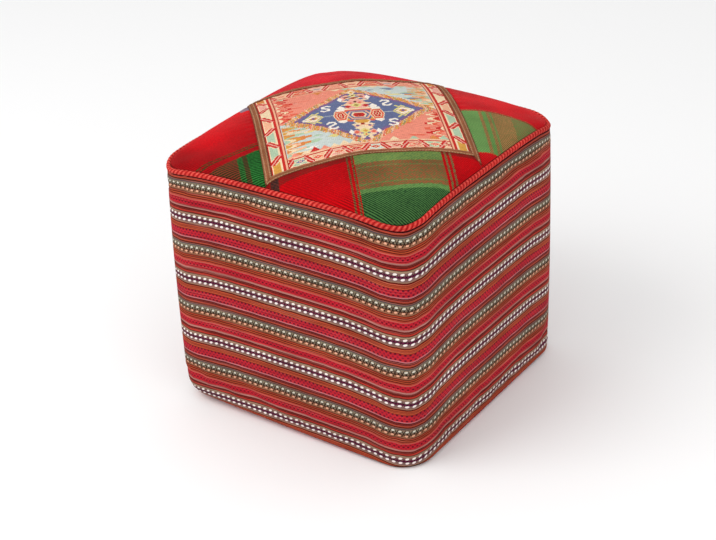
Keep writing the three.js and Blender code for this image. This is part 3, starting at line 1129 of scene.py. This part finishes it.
def drawFigure(chart, figure, x, y, way):
    point = 0.3  # of a hexagon, as a share of its half width
    for shape, across, along, reachX, reachY, yarn in figure:
        for side in ((-1, 1) if across else (1,)):
            place = (x + side * across, y + way * along)
            if shape == "box":
                mask = chart.box(*place, reachX, reachY)
            elif shape == "diamond":
                mask = chart.diamond(*place, reachX, reachY)
            else:
                mask = chart.hexagon(*place, reachX, reachY, reachX * point)
            chart.paint(mask, yarn)


def drawNest(chart, x, y, nest, point):
    for reachX, reachY, yarn in nest:
        chart.paint(chart.hexagon(x, y, reachX, reachY, reachX * point), yarn)


def flames(chart, x, low, high, way, yarns, longest):
    # stepped flames side by side, growing from a border, each of four yarns one over another
    y = low
    while y < high:
        height = chart.rng.uniform(9, 15)
        for share, yarn in zip((1.0, 0.75, 0.5, 0.25), chart.rng.permutation(yarns)):
            length = way * longest * share * chart.rng.uniform(0.7, 1.0)
            place = y + height / 2 + chart.rng.uniform(-1, 1)
            chart.paint(chart.wedge(x, place, length, height * (0.6 + share * 0.5)), yarn)
        y += height


def drawQuarters(chart):
    # the ground: pale quarters streaked with many yarns, and salmon ones with few
    many, few = panel["paleStreaks"], panel["salmonStreaks"]
    pale = (chart.x - panel["middle"][0]) * (chart.y - panel["middle"][1]) > 0
    chart.paint(pale, "paleBlue")
    for _ in range(many["count"]):
        x, y = chart.anyPlace()
        yarn = chart.rng.choice(many["yarns"])
        chart.paint(chart.streak(x, y, many) & pale, yarn)
    for _ in range(few["count"]):
        x, y = chart.anyPlace()
        mask = chart.streak(x, y, few) & ~pale
        chart.paint(mask, chart.rng.choice(few["yarns"]))


def drawFlames(chart):
    # flames grow from the side borders, and half diamonds from the other two
    cy = panel["middle"][1]
    warm, cool = panel["warmFlames"], panel["coolFlames"]
    left, right = chart.left + 6, chart.right - 6
    flames(chart, left, cy + 4, chart.far, 1, warm, 26)
    flames(chart, left, chart.near, cy - 10, 1, cool, 38)
    flames(chart, right, chart.near, cy, -1, warm, 26)
    flames(chart, right, cy, chart.far, -1, cool, 34)
    for x in np.arange(left + 10, right - 4, 13.0):
        for level, way in ((chart.near, 1), (chart.far, -1)):
            yarn = chart.rng.choice(["cream", "red", "salmon", "orange", "mint"])
            reach = chart.rng.uniform(5, 13)
            chart.paint(chart.diamond(x, level, 8, reach) & (way * (chart.y - level) > 0), yarn)


def drawDiamonds(chart):
    # the gold diamond is made of short upright strokes, each with its own ends; the blue one lies in it
    cx, cy = panel["middle"]
    stroke = np.floor((chart.x - cx) / panel["strokeWidth"]).astype(int)
    ends = chart.rng.uniform(-0.02, 0.02, (2, 200))
    fromMiddle = (abs(stroke + 0.5) * panel["strokeWidth"], abs(chart.y - cy))
    gold, blue = (
        fromMiddle[0] / reach[0] + fromMiddle[1] / reach[1] + end[stroke]
        for reach, end in zip((panel["goldReach"], panel["blueReach"]), ends)
    )
    ring = gold < 1
    chart.paint(ring, "gold")
    turn = np.floor((chart.x - cx + 0.3 * fromMiddle[1]) / panel["strokeWidth"]).astype(int)
    for every, start, yarn in panel["goldTurns"]:
        chart.paint(ring & (turn % every == start), yarn)
    grain = chart.rng.random(chart.x.shape)
    chart.paint(ring & (grain < 0.14), "cream")
    chart.paint(ring & (grain > 0.93), "slate")
    chart.paint(blue < 1.06, "violet")
    chart.paint(blue < 0.98, "blue")
    for _ in range(60):
        x, y = chart.rng.uniform(-80, 80, 2)
        speck = chart.hexagon(cx + x, cy + y, chart.rng.uniform(2, 5), 0.7, 1)
        chart.paint(speck & (blue < 0.94), chart.rng.choice(["violet", "slate"]))


def drawFigures(chart):
    cx, cy = panel["middle"]
    sideFlower(chart, cx - 62, cy - 4, -1)
    sideFlower(chart, cx + 59, cy - 4, 1)
    drawFigure(chart, farTree, cx, cy - 2, 1)
    drawFigure(chart, nearTree, cx, cy - 16, -1)
    for x, y, way in ((-42, 24, 1), (40, 25, -1), (-40, -34, -1), (41, -36, 1)):
        sHook(chart, cx + x, cy + y, 8.5, way)
    drawNest(chart, cx - 1, cy - 8, middleNest, 0.35)
    for way in (-1, 1):
        drawNest(chart, cx - 1 + way * 24.5, cy - 8, sideNest, 0.4)


def drawBorders(chart):
    wide, tall, zigzags = panel["width"], panel["length"], panel["zigzags"]
    zigzagBorder(chart, chart.x, chart.y, panel["nearBorder"], zigzags["near"])
    zigzagBorder(chart, chart.x, tall - chart.y, panel["farBorder"], zigzags["far"])
    for x in np.arange(13, wide, 25):
        for y in (chart.near / 2 - 1, tall - panel["farBorder"] / 2):
            yarn = chart.rng.choice(["red", "coral", "brick", "red", "slate"])
            middle = x + chart.rng.uniform(-3, 3)
            for reachX, reachY, shade in ((9, 5, "cream"), (7, 3.6, yarn), (3, 1.4, "pink")):
                chart.paint(chart.diamond(middle, y, reachX, reachY), shade)
    for level in (chart.near, chart.far):
        chart.paint(abs(chart.y - level) < 1.2, "peach")
    for across in (chart.x, wide - chart.x):
        zigzagBorder(chart, chart.y, across, panel["sideBorder"], zigzags["side"])
        for place, width, yarn in panel["edgeLines"]:
            chart.paint(abs(across - place) < width / 2, yarn)


def kilimWeave():
    nodes = Nodes("kilimWeave", roughness=0.92, sheen=0.04, sheenTint="#ffd8c8")
    u, v = nodes.cloth()
    place = Value(nodes, nodes.node("Attribute", attribute_name="yarn").outputs["Fac"]) + 0.5
    colour = nodes.stripes(place, [(1, hexColour) for hexColour in panel["yarns"].values()])
    pick = panel["length"] / panel["stepsAlong"]
    thread, drift = (nodes.patches(u, v, panel[kind]) for kind in ("threadShade", "drift"))
    colour = nodes.shaded(colour, thread, drift)
    height = nodes.ridges(u, 2 * pick) + nodes.wave(v, pick) * 0.7
    return nodes.finish(colour, height, depth=0.0004, strength=0.8)


def makePanel(material):
    def flat(u, v, plan):
        return np.stack([u * panel["width"], v * panel["length"]], -1)

    def lift(u, v, plan):
        x, y = u * panel["width"], v * panel["length"]
        sideways = seamLift(np.minimum(x, panel["width"] - x), y)
        return sideways + seamLift(np.minimum(y, panel["length"] - y), x)

    piece = sheetPiece(
        "woven_panel", panel, panelCut, flat, lift, material, "kilim_panel",
    )
    # the upper faces come first, one for every cell of the chart; the rest stay in the ground yarn
    chart = Chart()
    for draw in (drawQuarters, drawFlames, drawDiamonds, drawFigures, drawBorders):
        draw(chart)
    cells = chart.cells.ravel()
    yarns = np.zeros(len(piece.data.polygons), np.float32)
    yarns[:len(cells)] = cells
    piece.data.attributes.new("yarn", "FLOAT", "FACE").data.foreach_set("value", yarns)
    return piece


tape = {
    "stepsAcross": 8,
    "stepsAlong": 128,
    "coarse": 8,
    "proud": 0.7,
    "dome": 0.6,
    "pucker": 0.2,
    "ground": "#a0603f",
    # stripes along each half of the tape: inner and outer edge, from its middle line, and colour
    "stripes": [(1.9, 2.9, "#bc8a66"), (3.7, 9, "#8c5038")],
    "threadShade": {"cells": (0.8, 2.5), "detail": 1.0, "levels": (0.25, 0.75), "shades": (0.6, 1.0)},
    "drift": {"cells": (50, 50), "shift": 3.0, "levels": (0.25, 0.75), "shades": (0.8, 1.1)},
    # the line of stitches near each edge: pitch, start and end of a stitch in it, place and height
    "stitchPitch": 3.6,
    "stitchDash": (0.1, 0.72),
    "stitchPlace": (2.95, 3.45),
    "stitchColour": "#c8a078",
    "stitchHeight": 1.5,
    "slantPitch": 1.3,
    "warpPitch": 1.1,
    "warpHeight": 0.5,
}


def tapeWeave():
    nodes = Nodes("tapeWeave", roughness=0.92, sheen=0.05, sheenTint="#e8c8a8")
    u, v = nodes.cloth()
    away = abs(u)
    colour = linear(tape["ground"])
    for inner, outer, shade in tape["stripes"]:
        colour = nodes.mix(nodes.within(away, inner, outer), colour, linear(shade))
    thread, drift = (nodes.patches(u, v, tape[kind]) for kind in ("threadShade", "drift"))
    colour = nodes.shaded(colour, thread, drift)
    dash = nodes.within(nodes.calc("FRACT", v / tape["stitchPitch"]), *tape["stitchDash"])
    stitch = dash * nodes.within(away, *tape["stitchPlace"])
    colour = nodes.mix(stitch, colour, linear(tape["stitchColour"]))
    height = nodes.wave(v + away, tape["slantPitch"]) + nodes.wave(u, tape["warpPitch"]) * tape["warpHeight"]
    return nodes.finish(colour, height + stitch * tape["stitchHeight"], depth=0.0004, strength=0.8)


def makeTape(index, material):
    width = patchSides[index]["tapeWidth"]
    length = panelSide(index)[2]

    def flat(u, v, plan):
        return np.stack([(u - 0.5) * width, v * length], -1)

    def lift(u, v, plan):
        wave = np.sin(2 * math.pi * v * length / seams["puckerPitch"] + index)
        return tape["proud"] + tape["dome"] * (arched(u) ** 0.5 - 0.5) + tape["pucker"] * wave

    name = patchSides[index]["name"]
    return sheetPiece(
        f"brown_tape_{name}", tape, tapeCut(index), flat, lift, material, f"frame_tape_{name}",
    )


# Each plaid piece is seen as it lies: p runs to the right across the top, q to the far corner.
# lean and slope turn its stripes round the lines q = leanFrom and p = slopeFrom, and arch bends them
# round p = archMiddle. ribs is the angle of the twill. It shows in full below q = hatchBelow, in
# patches, and elsewhere by ribShare. shade is painted light and shade along q, mostly lighter toward
# the ridges of the crown: (q low, q high, shade below, shade above). Each block is (p low, p high,
# q low, q high, warp colour, weft colour).
plaid = {
    "stepsAcross": 64,
    "stepsAlong": 96,
    "coarse": 8,
    "slopeFrom": -150,
    "leanFrom": -120,
    # how far each thread strays from the line of its stripe, and the share of it that p takes
    "stray": {"cells": (1.4, 1.4), "detail": 0.0, "reach": 2.0},
    "strayAcross": 0.6,
    # warp shows where the rib and the fuzz of the wool together come over these levels, and weft below
    "ribPitch": 3.0,
    "ribWeight": 2.5,
    "fuzzNoise": {"cells": (3.5, 3.5), "detail": 5.0},
    "fuzz": (4.4, -1.7),
    "warpLevels": (0.2, 0.8),
    "ribShade": (0.6, 0.9),
    "hatchPatches": {
        "cells": (36, 36), "detail": 1.0, "shift": 8.0, "levels": (0.38, 0.58), "shades": (0.45, 1.0),
    },
    "grain": {"cells": (1.1, 1.1), "detail": 1.0, "levels": (0.25, 0.75), "shades": (0.72, 1.0)},
    "drift": {"cells": (55, 55), "shift": 3.0, "levels": (0.25, 0.75), "shades": (0.74, 1.06)},
    # painted shade, darker toward the left corner where the crown curves down: p low, p high, shade there,
    # shade elsewhere
    "paintedCornerShade": (-262, -205, 0.72, 1.0),
    "right": {
        "lean": 0.1, "slope": 0, "arch": 0.006, "archMiddle": 155,
        "ribs": -40, "ribShare": 0.9, "hatchBelow": 0,
        "shade": (-20, 40, 1.05, 1.2),
        "ground": ("#d8101c", "#c40814"), "flat": (0.285, 0.145), "area": 0.0206,
        "blocks": [
            (100, 300, -300, -3, "#b47c4c", "#566c38"),
            (100, 149, -300, -8, "#72a058", "#64904e"),
            (153.5, 159.5, -300, -8, "#6a9a4e", "#648c4c"),
            (164, 167, -300, -8, "#7a9050", "#5a8444"),
            (193, 300, -80, -8, "#8a6a40", "#4f8a48"),
            (100, 300, -7, -4, "#8a3a24", "#b01c18"),
            (100, 300, -300, -116, "#d01018", "#b80e14"),
        ],
    },
    "back": {
        "lean": 0, "slope": 0, "arch": 0, "archMiddle": 0,
        "ribs": 35, "ribShare": 0.4, "hatchBelow": -400,
        "shade": (100, 220, 1.12, 1.12),
        "ground": ("#ec1c30", "#d81426"), "flat": (0.3, 0.157), "area": 0.0234,
        "blocks": [],
    },
    "left": {
        "lean": 0, "slope": 0.12, "arch": 0, "archMiddle": 0,
        "ribs": -12, "ribShare": 0.5, "hatchBelow": -55,
        "shade": (-60, 70, 0.72, 1.28),
        "ground": ("#d40a16", "#bc0812"), "flat": (0.28, 0.138), "area": 0.0192,
        "blocks": [
            (-300, -100, -38.5, -36, "#5a5a28", "#7a1c14"),
            (-300, -100, -44, -41, "#4e5a26", "#7a1c14"),
            (-300, -100, -300, -55, "#a0402c", "#2c4c22"),
            (-176, -169, -300, -55, "#3f8a3c", "#1e4a20"),
            (-169, -163, -300, -55, "#6c4a28", "#244c22"),
            (-163, -100, -300, -55, "#368c3c", "#185420"),
            (-150, -100, 88, 300, "#8c7480", "#6a6474"),
        ],
    },
    "front": {
        "lean": 0.085, "slope": 0, "arch": 0.0006, "archMiddle": 0,
        "ribs": -50, "ribShare": 0.3, "hatchBelow": -197,
        "shade": (-250, -100, 0.96, 1.0),
        "ground": ("#d0000c", "#c0000a"), "flat": (0.3, 0.163), "area": 0.0244,
        "blocks": [
            (-300, 300, -127, -100, "#8a2018", "#a00c10"),
            (-142, -131, -152, -100, "#5a2c24", "#3c2622"),
            (-43, -40.5, -300, -100, "#6e6038", "#8a301c"),
            (-37, -34.5, -300, -100, "#6a7040", "#8a301c"),
            (-33, 81, -300, -100, "#a05a38", "#6c6e3c"),
            (-33, 81, -139, -100, "#80984e", "#68884a"),
            (-33, 81, -149, -147, "#86864e", "#6a7c44"),
            (-33, 81, -182, -180, "#748848", "#647c42"),
            (-33, 81, -300, -190, "#6c9852", "#5c8446"),
            (-33, 81, -300, -198, "#4c7a40", "#1e4424"),
            (84.5, 87.5, -300, -100, "#7c7c48", "#9a4030"),
            (91, 94, -300, -100, "#7c7848", "#9a4030"),
        ],
    },
}


def plaidTwill(name):
    design = plaid[name]
    nodes = Nodes(f"plaidTwill_{name}", roughness=0.9, sheen=0.14, sheenTint="#ffb4ac", sheenRoughness=0.2)
    p, q = nodes.cloth()
    stray = nodes.sway(p, q, **plaid["stray"])
    fromMiddle = p - design["archMiddle"]
    bend = fromMiddle * fromMiddle * design["arch"]
    along = q - (p - plaid["slopeFrom"]) * design["slope"] + bend + stray
    across = p - (q - plaid["leanFrom"]) * design["lean"] + stray * plaid["strayAcross"]
    warp, weft = (linear(hexColour) for hexColour in design["ground"])
    for pLow, pHigh, qLow, qHigh, warpColour, weftColour in design["blocks"]:
        mask = nodes.within(across, pLow, pHigh) * nodes.within(along, qLow, qHigh)
        warp = nodes.mix(mask, warp, linear(warpColour))
        weft = nodes.mix(mask, weft, linear(weftColour))
    angle = math.radians(design["ribs"])
    rib = nodes.wave(q * math.cos(angle) - p * math.sin(angle), plaid["ribPitch"])
    inFull = nodes.patches(p, q, plaid["hatchPatches"]) * (along < design["hatchBelow"])
    shown = (rib - 0.5) * (inFull * (1 - design["ribShare"]) + design["ribShare"])
    spread, base = plaid["fuzz"]
    fuzz = nodes.noise(p, q, **plaid["fuzzNoise"]) * spread + base
    colour = nodes.mix(nodes.smooth(shown * plaid["ribWeight"] + fuzz, *plaid["warpLevels"]), weft, warp)
    grain, drift = (nodes.patches(p, q, plaid[kind]) for kind in ("grain", "drift"))
    contrast, middle = plaid["ribShade"]
    # painted light and shade along q, mostly lighter toward the ridges of the crown
    paintedLightAndShade, paintedCornerShade = nodes.smooth(along, *design["shade"]), nodes.smooth(p, *plaid["paintedCornerShade"])
    # painted shade: the plaid is darkened toward the left corner, where the crown curves down
    colour = nodes.shaded(colour, grain, drift, shown * contrast + middle, paintedLightAndShade, paintedCornerShade)
    return nodes.finish(colour, rib, depth=0.0005, strength=0.7)


def makePlaid(index, material):
    def flat(u, v, plan):
        return np.stack([plan[..., 0] + plan[..., 1], plan[..., 1] - plan[..., 0]], -1) * math.sqrt(0.5)

    def lift(u, v, plan):
        start, _, length, outward = panelSide(index)
        away = (plan - start) @ outward - patchSides[index]["tapeWidth"]
        # the joint at each end is a sewn line as well
        toJoint = np.minimum(v, 1 - v) * (length + 2 * np.maximum(away, 0))
        return seamLift(np.maximum(away, 0), v * length) + seamLift(toJoint, u * length / 2)

    name = patchSides[index]["name"]
    piece = sheetPiece(
        f"plaid_piece_{name}", plaid, plaidCut(index), flat, lift, material,
        f"plaid_corner_{name}",
    )
    return piece


base = {
    "columns": 312,
    "flat": (0.391, 0.391),
    "area": 0.1507,
    # the rings of each face, as shares of its outline
    "shares": (0.02, 0.5, 1),
    "colours": ("#2c2622", "#453c36"),
    "thread": {"cells": (0.9, 14), "detail": 1.0, "levels": (0.3, 0.7), "shades": (0.0, 1.0)},
    "drift": {"cells": (60, 60), "shift": 3.0, "levels": (0.25, 0.75), "shades": (0.85, 1.15)},
    "threadPitch": 1.4,
}


def baseCotton():
    nodes = Nodes("baseCotton", roughness=0.95)
    u, v = nodes.cloth()
    colour = nodes.mix(nodes.patches(u, v, base["thread"]), *(linear(shade) for shade in base["colours"]))
    colour = nodes.shaded(colour, nodes.patches(u, v, base["drift"]))
    height = nodes.wave(u, base["threadPitch"]) * nodes.wave(v, base["threadPitch"])
    return nodes.finish(colour, height, depth=0.0003, strength=0.6)


def makeBase(material):
    columns = base["columns"]
    distance = np.arange(columns) * perimeter / columns
    outline = planPoints(distance, bottomRounding(distance))
    rings = [ringAt(outline * share, 0) for share in base["shares"]]
    rings += [ringAt(outline * share, form["clothThickness"]) for share in reversed(base["shares"])]
    faces, _ = loopGrid(len(rings), columns)
    closeEnds(faces, len(rings), columns)
    points = np.concatenate(rings)
    corners = [points[i][:2] for face in faces for i in face]
    piece = makePiece("base_cloth_sheet", points, faces, corners, material, "base_panel")
    return piece


makeStripedBody(stripedCloth())
makePiping(cordCloth())
brownTape = tapeWeave()
tapes = [makeTape(index, brownTape) for index in range(4)]
makePanel(kilimWeave())
for index in range(4):
    makePlaid(index, plaidTwill(patchSides[index]["name"]))
makeBase(baseCotton())
print("pieces made")
